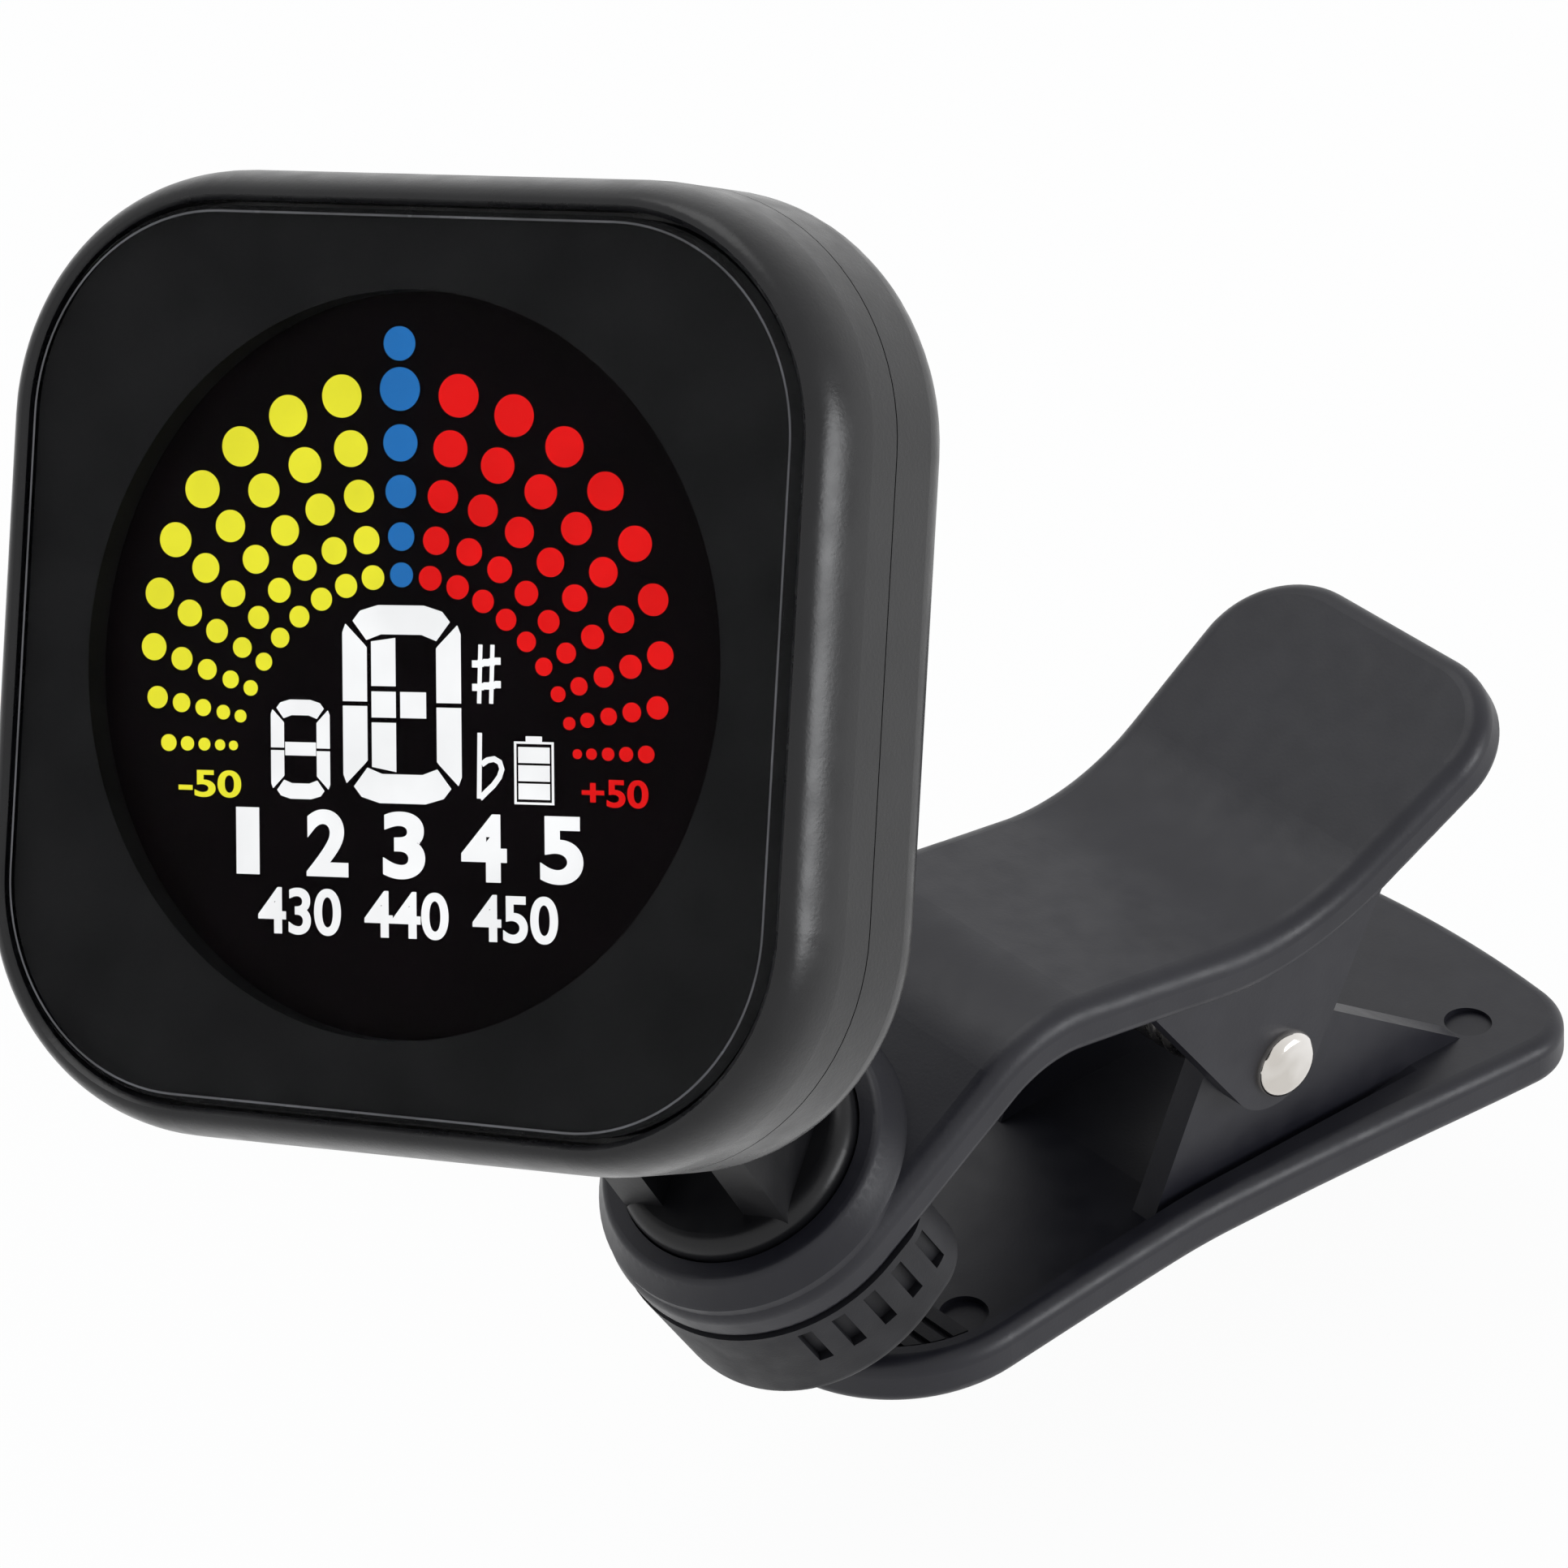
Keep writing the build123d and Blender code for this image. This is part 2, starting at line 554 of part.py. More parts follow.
with BuildPart() as rear_cover:
    with BuildSketch(head.offset(-PARTING - SEAM)):
        RectangleRounded(HOUSING, HOUSING, HOUSING_R)
    extrude(amount=-(DEPTH - PARTING - SEAM))
    inward = Axis(head.origin, head.z_dir)
    fillet(rear_cover.faces().sort_by(inward)[0].edges(), BACK_ROUND)
    with BuildSketch(head.offset(-PARTING - SEAM)):
        RectangleRounded(HOUSING - 2 * WALL, HOUSING - 2 * WALL, HOUSING_R - WALL)
    extrude(amount=-(DEPTH - PARTING - SEAM - WALL), mode=Mode.SUBTRACT)
    # the tongue that finds the bezel
    with BuildSketch(head.offset(-PARTING - SEAM - 0.6)):
        tongue = GLASS + 2 * GAP - 0.2
        RectangleRounded(tongue, tongue, GLASS_R + GAP - 0.1)
        RectangleRounded(tongue - 1.6, tongue - 1.6, GLASS_R + GAP - 0.9, mode=Mode.SUBTRACT)
    extrude(amount=1.4)
    # screw holes at the corners, the button's hole and the two neck screws
    with BuildSketch(head.offset(-DEPTH)):
        with Locations(*boss_spots):
            Circle(CASE_HEAD_R + 0.1)
    extrude(amount=CASE_HEAD_T + 0.05, mode=Mode.SUBTRACT)
    with BuildSketch(head.offset(-DEPTH - 1)):
        with Locations(*boss_spots):
            Circle(SCREW_R + 0.1)
        with Locations((0, BUTTON_Y)):
            Circle(BUTTON_R + 0.12)
        with Locations((NECK_SCREW_X, NECK_UP - HEAD_RISE), (-NECK_SCREW_X, NECK_UP - HEAD_RISE)):
            Circle(SCREW_R + 0.1)
    extrude(amount=1 + WALL + 0.5, mode=Mode.SUBTRACT)
    # the charging port's slot in the left side
    with BuildSketch(port_plane(-1.0)):
        SlotOverall(9.4, 3.4)
    extrude(amount=1 + WALL + 1.2, mode=Mode.SUBTRACT)
finish("rear_cover", rear_cover)

with BuildPart() as face_lens:
    with BuildSketch(head.offset(-GLASS_T)):
        RectangleRounded(GLASS, GLASS, GLASS_R)
    extrude(amount=GLASS_T)
    chamfer(face_lens.faces().sort_by(Axis(head.origin, head.z_dir))[-1].edges(), 0.15)
finish("face_lens", face_lens)

with BuildPart() as display_mask:
    with BuildSketch(head.offset(mask_z)):
        RectangleRounded(GLASS, GLASS, GLASS_R)
        Circle(DISPLAY_R, mode=Mode.SUBTRACT)
    extrude(amount=MASK_T)
finish("display_mask", display_mask)


def octagon(size, cut):
    """A square with its corners cut off, clear of the screw bosses."""
    square = Rectangle(size, size)
    chamfer(square.vertices(), cut)


with BuildPart() as display_panel:
    with BuildSketch(head.offset(mask_z - LCD_T)):
        octagon(LCD, LCD_CORNER)
    extrude(amount=LCD_T)
finish("display_panel", display_panel)

guide_z = mask_z - LCD_T - 0.05 - GUIDE_T
with BuildPart() as light_guide:
    with BuildSketch(head.offset(guide_z)):
        octagon(LCD - 0.6, LCD_CORNER - 0.1)
    extrude(amount=GUIDE_T)
finish("light_guide", light_guide)

board_z = guide_z - 0.05 - BOARD_T
with BuildPart() as circuit_board:
    with BuildSketch(head.offset(board_z)):
        RectangleRounded(BOARD, BOARD, 8)
        with Locations(*boss_spots):
            Circle(BOSS_R + 0.3, mode=Mode.SUBTRACT)
    extrude(amount=BOARD_T)
finish("circuit_board", circuit_board)

with BuildPart() as controller_chips:
    with BuildSketch(head.offset(board_z)):
        with Locations((9, 13)):
            Rectangle(5, 5)
        with Locations((-9, 13.5), (15.4, -4)):
            Rectangle(3, 4)
    extrude(amount=-0.9)
finish("controller_chips", controller_chips)

with BuildPart() as battery_cell:
    with BuildSketch(head.offset(-DEPTH + WALL + 0.3)):
        with Locations((-2.9, -3.0)):
            RectangleRounded(20, 13, 1.5)
    extrude(amount=3.4)
    fillet(battery_cell.edges().filter_by(GeomType.LINE).sort_by(Axis(head.origin, head.z_dir))[-4:], 0.4)
finish("battery_cell", battery_cell)

with BuildPart() as charge_port:
    with BuildSketch(port_plane(0.5)):
        SlotOverall(8.94, 3.0)
        SlotOverall(8.34, 2.4, mode=Mode.SUBTRACT)
    extrude(amount=7.0)
    with BuildSketch(port_plane(6.5)):
        SlotOverall(8.6, 2.7)
    extrude(amount=1.0)
    with BuildSketch(port_plane(1.5)):
        Rectangle(6.6, 0.7)
    extrude(amount=5.5)
finish("charge_port", charge_port)

with BuildPart() as power_button:
    with BuildSketch(head.offset(-DEPTH - BUTTON_PROUD)):
        with Locations((0, BUTTON_Y)):
            Circle(BUTTON_R)
    extrude(amount=BUTTON_PROUD + WALL + 0.2)
    fillet(power_button.faces().sort_by(Axis(head.origin, head.z_dir))[0].edges(), 0.35)
    with BuildSketch(head.offset(-DEPTH + WALL + 0.1)):
        with Locations((0, BUTTON_Y)):
            Circle(BUTTON_R + 0.9)
    extrude(amount=0.6)
    with BuildSketch(head.offset(-DEPTH + WALL + 0.6)):
        with Locations((0, BUTTON_Y)):
            Circle(1.2)
    extrude(amount=BUTTON_STEM)
finish("power_button", power_button)

with BuildPart() as tact_switch:
    with BuildSketch(head.offset(board_z)):
        with Locations((0, BUTTON_Y)):
            Rectangle(4.5, 4.5)
    extrude(amount=-1.6)
    with BuildSketch(head.offset(board_z - 1.6)):
        with Locations((0, BUTTON_Y)):
            Circle(1.2)
    extrude(amount=-0.5)
finish("tact_switch", tact_switch)

with BuildPart() as piezo_disc:
    with BuildSketch(head.offset(-DEPTH + WALL)):
        with Locations((12.8, -2.5)):
            Circle(4.4)
    extrude(amount=0.25)
    with BuildSketch(head.offset(-DEPTH + WALL + 0.25)):
        with Locations((12.8, -2.5)):
            Circle(3.0)
    extrude(amount=0.2)
finish("piezo_disc", piezo_disc)

with BuildPart() as case_screws:
    with BuildSketch(head.offset(-DEPTH + 0.05)):
        with Locations(*boss_spots):
            Circle(CASE_HEAD_R)
    extrude(amount=CASE_HEAD_T)
    with BuildSketch(head.offset(-DEPTH + 0.05)):
        with Locations(*boss_spots):
            Circle(SCREW_R)
    extrude(amount=5.0)
    with BuildSketch(head.offset(-DEPTH)):
        with Locations(*boss_spots):
            Rectangle(0.4, 1.9)
            Rectangle(1.9, 0.4)
    extrude(amount=0.5, mode=Mode.SUBTRACT)
finish("case_screws", case_screws)

with BuildPart() as neck_screws:
    with BuildSketch(head.offset(-DEPTH + WALL)):
        with Locations((NECK_SCREW_X, NECK_UP - HEAD_RISE), (-NECK_SCREW_X, NECK_UP - HEAD_RISE)):
            Circle(1.6)
    extrude(amount=0.9)
    with BuildSketch(head.offset(-DEPTH - 2.5)):
        with Locations((NECK_SCREW_X, NECK_UP - HEAD_RISE), (-NECK_SCREW_X, NECK_UP - HEAD_RISE)):
            Circle(SCREW_R)
    extrude(amount=2.5 + WALL + 0.1)
finish("neck_screws", neck_screws)
print(len(parts), "pieces")
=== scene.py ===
# %% [markdown]
# # A clip-on tuner, dressed for its picture
# The tuner is a square colour display on a small hinge, carried by a sprung clip.  Its solid parts
# are loaded as a fixed frame that already has the right sizes and joints.  This lesson adds what a
# solid can't say by itself: the finish of each moulding, the lit segments of the display, the
# camera and the light.  Lengths are in metres, so a constant MM turns millimetres into them.

import json
import math

import bmesh
import bpy
from mathutils import Matrix, Vector


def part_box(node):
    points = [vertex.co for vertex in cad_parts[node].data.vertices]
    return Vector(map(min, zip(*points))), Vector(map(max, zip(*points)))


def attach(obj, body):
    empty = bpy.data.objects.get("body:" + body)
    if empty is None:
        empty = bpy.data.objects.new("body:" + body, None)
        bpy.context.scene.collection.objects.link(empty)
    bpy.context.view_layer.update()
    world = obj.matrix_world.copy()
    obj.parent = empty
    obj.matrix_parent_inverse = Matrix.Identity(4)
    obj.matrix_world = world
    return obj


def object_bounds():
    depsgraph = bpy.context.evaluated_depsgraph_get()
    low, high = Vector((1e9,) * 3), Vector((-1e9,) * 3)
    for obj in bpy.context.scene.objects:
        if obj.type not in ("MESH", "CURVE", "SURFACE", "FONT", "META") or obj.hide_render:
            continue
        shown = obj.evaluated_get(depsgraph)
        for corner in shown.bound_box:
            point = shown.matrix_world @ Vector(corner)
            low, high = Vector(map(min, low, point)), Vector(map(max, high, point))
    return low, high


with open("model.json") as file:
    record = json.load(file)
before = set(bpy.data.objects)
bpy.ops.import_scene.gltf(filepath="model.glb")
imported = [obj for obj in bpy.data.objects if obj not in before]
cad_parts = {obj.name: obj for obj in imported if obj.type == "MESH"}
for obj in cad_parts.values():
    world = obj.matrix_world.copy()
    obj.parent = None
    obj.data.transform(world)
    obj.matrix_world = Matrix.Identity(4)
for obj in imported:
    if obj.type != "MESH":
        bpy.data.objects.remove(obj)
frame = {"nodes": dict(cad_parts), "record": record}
CAD_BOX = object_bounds()
MM = 0.001
nodes = frame["nodes"]
print("nodes:", len(nodes), "box:", [tuple(round(c, 4) for c in corner) for corner in CAD_BOX])

# %% [markdown]
# ## The head's own directions
# The display head is turned on the swivel and tipped on its hinge, so none of its faces lies
# along X, Y or Z.  Its directions could be typed in as numbers, but they would go stale when the
# hinge changes.  Reading them from the joints keeps them true: the tilt hinge's axis runs across
# the head and the power button's axis points out of the glass.

# %% The head's directions and a ruler along them
joints = {joint["name"]: joint for joint in frame["record"]["behaviour"]["joints"]}
across = Vector(joints["head_tilt"]["axis"]).normalized()
outward = Vector(joints["button_press"]["axis"]).normalized()
upward = outward.cross(across).normalized()


def reach(node, direction):
    """The lowest and highest place of a node along a direction, in metres."""
    places = [vertex.co.dot(direction) for vertex in nodes[node].data.vertices]
    return min(places), max(places)


lens_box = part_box("face_lens")
face_centre = (Vector(lens_box[0]) + Vector(lens_box[1])) / 2
glass_front = reach("face_lens", outward)[1]
display_front = reach("display_panel", outward)[1]
print("display lies", round((glass_front - display_front) / MM, 2), "mm under the glass")

# %% [markdown]
# ## Camera
# A long lens far away keeps the square head nearly square.  The camera's place is counted from
# the middle of the glass, so it follows the head if the hinge changes.  It looks past the head to
# the right, which leaves room there for the clip.  The Standard view writes each colour as it is
# set, where a film-like one would lift the blacks that this tuner is made of.

# %% Camera
LENS = 173.2
SENSOR = 36
FROM_GLASS = Vector((-156.93, -221.74, 196.39)) * MM
CAMERA_BACK = Vector((-0.50123, -0.62119, 0.60240))
CAMERA_TOP = Vector((0.43543, 0.42054, 0.79596))

glass_middle = face_centre + (glass_front - face_centre.dot(outward)) * outward
back = CAMERA_BACK.normalized()
side = CAMERA_TOP.cross(back).normalized()
top = back.cross(side)
camera_data = bpy.data.cameras.new("camera")
camera_data.sensor_width = SENSOR
camera_data.lens = LENS
camera = bpy.data.objects.new("camera", camera_data)
turn = Matrix((side, top, back)).transposed().to_4x4()
camera.matrix_world = Matrix.Translation(glass_middle + FROM_GLASS) @ turn
bpy.context.scene.collection.objects.link(camera)
bpy.context.scene.camera = camera
bpy.context.scene.view_settings.view_transform = "Standard"
print("camera at", [round(c, 3) for c in camera.matrix_world.translation])

# %% [markdown]
# ## Light and background
# A product picture on white needs two things at once: an even soft light, and a background that
# burns out to white.  Turning the lamps up until the floor is white would bleach the tuner as
# well.  Light Path tells a background ray from a lighting ray, so the background is white only to
# the camera and to reflections, while the light on the tuner stays plain.

# %% World
ROOM_COLOUR = (0.93, 0.96, 1.0, 1)
ROOM_STRENGTH = 0.7
WHITE = (1, 1, 1, 1)
world = bpy.data.worlds.new("studio")
bpy.context.scene.world = world
world.use_nodes = True
tree = world.node_tree
tree.nodes.clear()
path = tree.nodes.new("ShaderNodeLightPath")
seen = tree.nodes.new("ShaderNodeMath")
seen.operation = "MAXIMUM"
seen_through = tree.nodes.new("ShaderNodeMath")
seen_through.operation = "MAXIMUM"
tree.links.new(path.outputs["Is Camera Ray"], seen.inputs[0])
tree.links.new(path.outputs["Is Glossy Ray"], seen.inputs[1])
tree.links.new(seen.outputs[0], seen_through.inputs[0])
tree.links.new(path.outputs["Is Transmission Ray"], seen_through.inputs[1])
lighting = tree.nodes.new("ShaderNodeBackground")
lighting.inputs["Color"].default_value = ROOM_COLOUR
lighting.inputs["Strength"].default_value = ROOM_STRENGTH
backdrop = tree.nodes.new("ShaderNodeBackground")
backdrop.inputs["Color"].default_value = WHITE
backdrop.inputs["Strength"].default_value = 1.0
choose = tree.nodes.new("ShaderNodeMixShader")
out = tree.nodes.new("ShaderNodeOutputWorld")
tree.links.new(seen_through.outputs[0], choose.inputs["Fac"])
tree.links.new(lighting.outputs[0], choose.inputs[1])
tree.links.new(backdrop.outputs[0], choose.inputs[2])
tree.links.new(choose.outputs[0], out.inputs["Surface"])
print("world:", world.name)


# %% Lamps
def soft_lamp(name, place, size, power, colour=(1, 1, 1)):
    """A square area lamp that points at the middle of the tuner."""
    data = bpy.data.lights.new(name, "AREA")
    data.size = size
    data.energy = power
    data.color = colour
    lamp = bpy.data.objects.new(name, data)
    middle = (CAD_BOX[0] + CAD_BOX[1]) / 2
    lamp.location = middle + Vector(place)
    lamp.rotation_euler = (middle - lamp.location).to_track_quat("-Z", "Y").to_euler()
    bpy.context.scene.collection.objects.link(lamp)


# name, place from the tuner's middle in metres, side in metres, watts, colour
soft_lamp("over_head", (0.1, 0.2, 0.6), 0.4, 0.8)
soft_lamp("from_front", (0.38, -0.58, 0.05), 0.35, 2.6, (0.97, 0.98, 1.0))
print("lamps placed")

# %% [markdown]
# ## Floor
# The floor only has to be white and to catch a faint shadow.  Its shader is mostly its own white
# glow, with some plain diffuse white in which the shadow shows.  It lies where the lower arm's
# nose ends when the jaw is fully open.  A floor right under the closed clip would hide the nose
# as the jaw opens, since the arm swings down past its resting level.

# %% Floor
FLOOR_HALF = 2.5
FLOOR_GLOW = 0.95  # share of the floor's colour that is its own glow
FLOOR_ROOM = 0.0002  # gap that keeps the floor off the plastic, in metres
PAPER = (0.9, 0.9, 0.9, 1)
floor_mesh = bpy.data.meshes.new("floor")
jaw = joints["jaw_hinge"]
hinge = Vector(jaw["pos_m"])
opened = Matrix.Rotation(math.radians(jaw["range_deg"][1]), 3, Vector(jaw["axis"]))
swung = nodes["lower_arm"]
arm_places = [swung.matrix_world @ vertex.co for vertex in swung.data.vertices]
lowest = min((hinge + opened @ (place - hinge)).z for place in arm_places)
level = min(CAD_BOX[0].z, lowest) - FLOOR_ROOM
signs = ((-1, -1), (1, -1), (1, 1), (-1, 1))
corners = [(x * FLOOR_HALF, y * FLOOR_HALF, level) for x, y in signs]
floor_mesh.from_pydata(corners, [], [(0, 1, 2, 3)])
floor = bpy.data.objects.new("floor", floor_mesh)
bpy.context.scene.collection.objects.link(floor)
floor_white = bpy.data.materials.new("floor_white")
floor_white.use_nodes = True
tree = floor_white.node_tree
tree.nodes.clear()
paper = tree.nodes.new("ShaderNodeBsdfDiffuse")
paper.inputs["Color"].default_value = PAPER
glow = tree.nodes.new("ShaderNodeEmission")
glow.inputs["Strength"].default_value = 1.0
blend = tree.nodes.new("ShaderNodeMixShader")
blend.inputs["Fac"].default_value = FLOOR_GLOW
out = tree.nodes.new("ShaderNodeOutputMaterial")
tree.links.new(paper.outputs[0], blend.inputs[1])
tree.links.new(glow.outputs[0], blend.inputs[2])
tree.links.new(blend.outputs[0], out.inputs["Surface"])
floor_mesh.materials.append(floor_white)
print("floor at", round(level, 4))

# %% [markdown]
# ## Finishes
# Moulded plastic is never one flat colour: its surface has a fine spark-eroded grain, and skin
# oils and rubbing change its gloss in patches.  One helper makes each such finish from three
# noises: a fine one for the bumps, a broad one for the colour and a middle one for the gloss.
# Noise is laid out in the object's own coordinates, so the grain is the same size on each part.

# %% A helper for moulded finishes
def add_node(tree, kind, **values):
    """A shader node with some of its inputs or settings already given."""
    node = tree.nodes.new(kind)
    for key, value in values.items():
        if key in node.inputs:
            node.inputs[key].default_value = value
        else:
            setattr(node, key, value)
    return node


def finish(name, dark, light, gloss, grain, depth, metallic=0.0, patch=4.0, specular=0.5):
    """A surface whose colour runs from dark to light and whose roughness runs over gloss.

    grain is the size of its bumps and depth their height, both in millimetres.
    """
    material = bpy.data.materials.new(name)
    material.use_nodes = True
    tree = material.node_tree
    shader = tree.nodes["Principled BSDF"]
    shader.inputs["Metallic"].default_value = metallic
    shader.inputs["Specular IOR Level"].default_value = specular
    place = add_node(tree, "ShaderNodeTexCoord")
    broad = add_node(tree, "ShaderNodeTexNoise", Scale=1 / (patch * MM), Detail=3.0)
    colours = add_node(tree, "ShaderNodeValToRGB")
    colours.color_ramp.elements[0].position = 0.35
    colours.color_ramp.elements[0].color = (*dark, 1)
    colours.color_ramp.elements[1].position = 0.65
    colours.color_ramp.elements[1].color = (*light, 1)
    middle = add_node(tree, "ShaderNodeTexNoise", Scale=1 / (patch * MM * 0.4), Detail=4.0)
    spread = add_node(tree, "ShaderNodeMapRange")
    spread.inputs["From Min"].default_value = 0.3
    spread.inputs["From Max"].default_value = 0.7
    spread.inputs["To Min"].default_value = gloss[0]
    spread.inputs["To Max"].default_value = gloss[1]
    fine = add_node(tree, "ShaderNodeTexNoise", Scale=1 / (grain * MM), Detail=2.0)
    bumps = add_node(tree, "ShaderNodeBump", Strength=0.6, Distance=depth * MM)
    for noise in (broad, middle, fine):
        tree.links.new(place.outputs["Object"], noise.inputs["Vector"])
    tree.links.new(broad.outputs["Fac"], colours.inputs["Fac"])
    tree.links.new(colours.outputs["Color"], shader.inputs["Base Color"])
    tree.links.new(middle.outputs["Fac"], spread.inputs["Value"])
    tree.links.new(spread.outputs["Result"], shader.inputs["Roughness"])
    tree.links.new(fine.outputs["Fac"], bumps.inputs["Height"])
    tree.links.new(bumps.outputs["Normal"], shader.inputs["Normal"])
    return material


def dress(material, *names):
    """Gives CAD nodes a finish in place of their plain one."""
    for name in names:
        nodes[name].data.materials.clear()
        nodes[name].data.materials.append(material)


# %% Black plastics and rubber
housing_black = finish(
    "housing_black", (0.003, 0.003, 0.004), (0.006, 0.006, 0.007),
    (0.24, 0.34), 0.2, 0.012, specular=0.36,
)
dress(housing_black, "front_bezel", "rear_cover")
hinge_black = finish(
    "hinge_black", (0.003, 0.003, 0.004), (0.005, 0.005, 0.006),
    (0.3, 0.4), 0.2, 0.008, specular=0.3,
)
dress(hinge_black, "swivel_turret", "tilt_neck")
clip_slate = finish(
    "clip_slate", (0.007, 0.007, 0.0115), (0.011, 0.011, 0.016),
    (0.36, 0.46), 0.18, 0.008, specular=0.36,
)
dress(clip_slate, "upper_arm", "lower_arm")
pad_rubber = finish(
    "pad_rubber", (0.006, 0.006, 0.008), (0.010, 0.010, 0.013),
    (0.5, 0.62), 0.12, 0.012, specular=0.3,
)
dress(pad_rubber, "upper_pad", "lower_pad")
button_rubber = finish(
    "button_rubber", (0.02, 0.02, 0.022), (0.03, 0.03, 0.033),
    (0.5, 0.6), 0.15, 0.008,
)
dress(button_rubber, "power_button")
print("plastics:", housing_black.name, hinge_black.name, clip_slate.name, pad_rubber.name)

# %% Metals and the inner parts
rivet_chrome = finish(
    "rivet_chrome", (0.60, 0.57, 0.53), (0.94, 0.92, 0.90),
    (0.10, 0.16), 0.5, 0.0008, 1.0, patch=5.0,
)
dress(rivet_chrome, "pivot_pin")
spring_steel = finish(
    "spring_steel", (0.62, 0.60, 0.56), (0.78, 0.76, 0.72),
    (0.18, 0.3), 0.3, 0.003, 1.0,
)
dress(spring_steel, "torsion_spring")
plated_steel = finish(
    "plated_steel", (0.5, 0.5, 0.52), (0.62, 0.62, 0.64),
    (0.25, 0.35), 0.2, 0.003, 1.0,
)
dress(plated_steel, "case_screws", "neck_screws", "turret_screw", "tilt_pin", "charge_port")
disc_brass = finish(
    "disc_brass", (0.6, 0.42, 0.15), (0.72, 0.52, 0.2),
    (0.25, 0.4), 0.3, 0.003, 1.0,
)
dress(disc_brass, "piezo_disc")
washer_nylon = finish("washer_nylon", (0.6, 0.58, 0.53), (0.68, 0.66, 0.6), (0.4, 0.5), 0.2, 0.004)
dress(washer_nylon, "friction_washer")
board_green = finish(
    "board_green", (0.01, 0.09, 0.035), (0.015, 0.12, 0.05),
    (0.3, 0.4), 0.3, 0.004,
)
dress(board_green, "circuit_board")
chip_black = finish("chip_black", (0.012, 0.012, 0.012), (0.02, 0.02, 0.02), (0.5, 0.6), 0.1, 0.004)
dress(chip_black, "controller_chips", "tact_switch")
battery_foil = finish(
    "battery_foil", (0.55, 0.56, 0.58), (0.68, 0.69, 0.71),
    (0.3, 0.45), 0.8, 0.02, 0.9,
)
dress(battery_foil, "battery_cell")
guide_milk = finish("guide_milk", (0.75, 0.76, 0.77), (0.82, 0.83, 0.84), (0.2, 0.3), 0.5, 0.002)
dress(guide_milk, "light_guide")
print("metals and inner parts done")

# %% [markdown]
# ## The front glass, its printed mask and the display cell
# The front is one clear sheet with a low-glare coating, which a refraction near that of air
# gives.  Behind it lies a printed black mask with a round window, and deeper still the display
# cell, which is black where it isn't lit.

# %% Glass, mask and cell
mask_print = finish(
    "mask_print", (0.0065, 0.0065, 0.0068), (0.0095, 0.0095, 0.0098),
    (0.35, 0.45), 0.3, 0.001, specular=0.06,
)
dress(mask_print, "display_mask")
# The mask's face and the back of the glass share a plane, and two faces in one plane show a torn
# pattern.  Drawing the mask's skin in by this film of air parts them.
FILM = 0.015 * MM
parting = nodes["display_mask"].modifiers.new("parting", "DISPLACE")
parting.direction = "NORMAL"
parting.mid_level = 0.0
parting.strength = -FILM
cell_black = finish(
    "cell_black", (0.0014, 0.0006, 0.0010), (0.0022, 0.0010, 0.0016),
    (0.3, 0.4), 0.3, 0.001, specular=0.02,
)
dress(cell_black, "display_panel")
front_glass = finish(
    "front_glass", (0.93, 0.94, 0.95), (0.97, 0.98, 0.99),
    (0.0, 0.02), 3.0, 0.0005, specular=0.03,
)
COATED_IOR = 1.05
glass_shader = front_glass.node_tree.nodes["Principled BSDF"]
glass_shader.inputs["IOR"].default_value = COATED_IOR
glass_shader.inputs["Transmission Weight"].default_value = 1.0
dress(front_glass, "face_lens")
print("front:", front_glass.name)

# %% [markdown]
# ## A painted highlight along the edge of the glass
# The glass is cut to a rounded square and its edge is ground and polished.  That narrow land shows
# as one thin pale line, which parts the black glass from the black rim.  The line is a painted
# highlight: a strip of pale quads between two outlines, a little inside the edge of the sheet.

# %% The painted edge highlight
EDGE_INSET = 0.22 * MM
EDGE_W = 0.10 * MM
EDGE_LIFT = 0.008 * MM
GLASS_CORNER = 9.8 * MM  # the corner of the solid glass
CORNER_STEPS = 24


def rounded_square(half, corner):
    """Points round a square of this half side, with rounded corners, counted in metres."""
    points = []
    for quarter in range(4):
        for step in range(CORNER_STEPS + 1):
            angle = math.radians(90 * (quarter + step / CORNER_STEPS))
            x_side = 1 if quarter in (0, 3) else -1
            y_side = 1 if quarter in (0, 1) else -1
            points.append(
                (x_side * (half - corner) + corner * math.cos(angle),
                 y_side * (half - corner) + corner * math.sin(angle))
            )
    return points


lens_low, lens_high = reach("face_lens", across)
glass_half = (lens_high - lens_low) / 2
outer = rounded_square(glass_half - EDGE_INSET, GLASS_CORNER - EDGE_INSET)
inner = rounded_square(glass_half - EDGE_INSET - EDGE_W, GLASS_CORNER - EDGE_INSET - EDGE_W)
count = len(outer)
places = [glass_middle + x * across + y * upward + EDGE_LIFT * outward for x, y in outer + inner]
strips = [(i, (i + 1) % count, count + (i + 1) % count, count + i) for i in range(count)]
edge_mesh = bpy.data.meshes.new("edge_highlight_strip")
edge_mesh.from_pydata([tuple(place) for place in places], [], strips)
# Pale grey that stands in for light caught on the glass edge: a painted highlight.
painted_edge_highlight = finish(
    "painted_edge_highlight", (0.05, 0.05, 0.055), (0.11, 0.11, 0.12), (0.15, 0.3), 0.3, 0.001
)
edge_mesh.materials.append(painted_edge_highlight)
edge_highlight_strip = bpy.data.objects.new("edge_highlight_strip", edge_mesh)
bpy.context.scene.collection.objects.link(edge_highlight_strip)
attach(edge_highlight_strip, "head")
print("glass edge:", count, "quads, half side", round(glass_half / MM, 2), "mm")

# %% [markdown]
# ## The lit segments
# The display shows a fan of dots, a note figure and its signs.  Each lit segment is a thin mesh
# of its own on the display cell.  An image would be quicker, but it would blur close up, and a
# mesh segment can glow.  Segments are drawn flat in the display's own coordinates, in millimetres
# from its middle, and one helper puts them on the cell.

# %% Glowing segment finish
LIT_DIP = 0.93  # the darkest patch of a lit segment, as a share of its colour


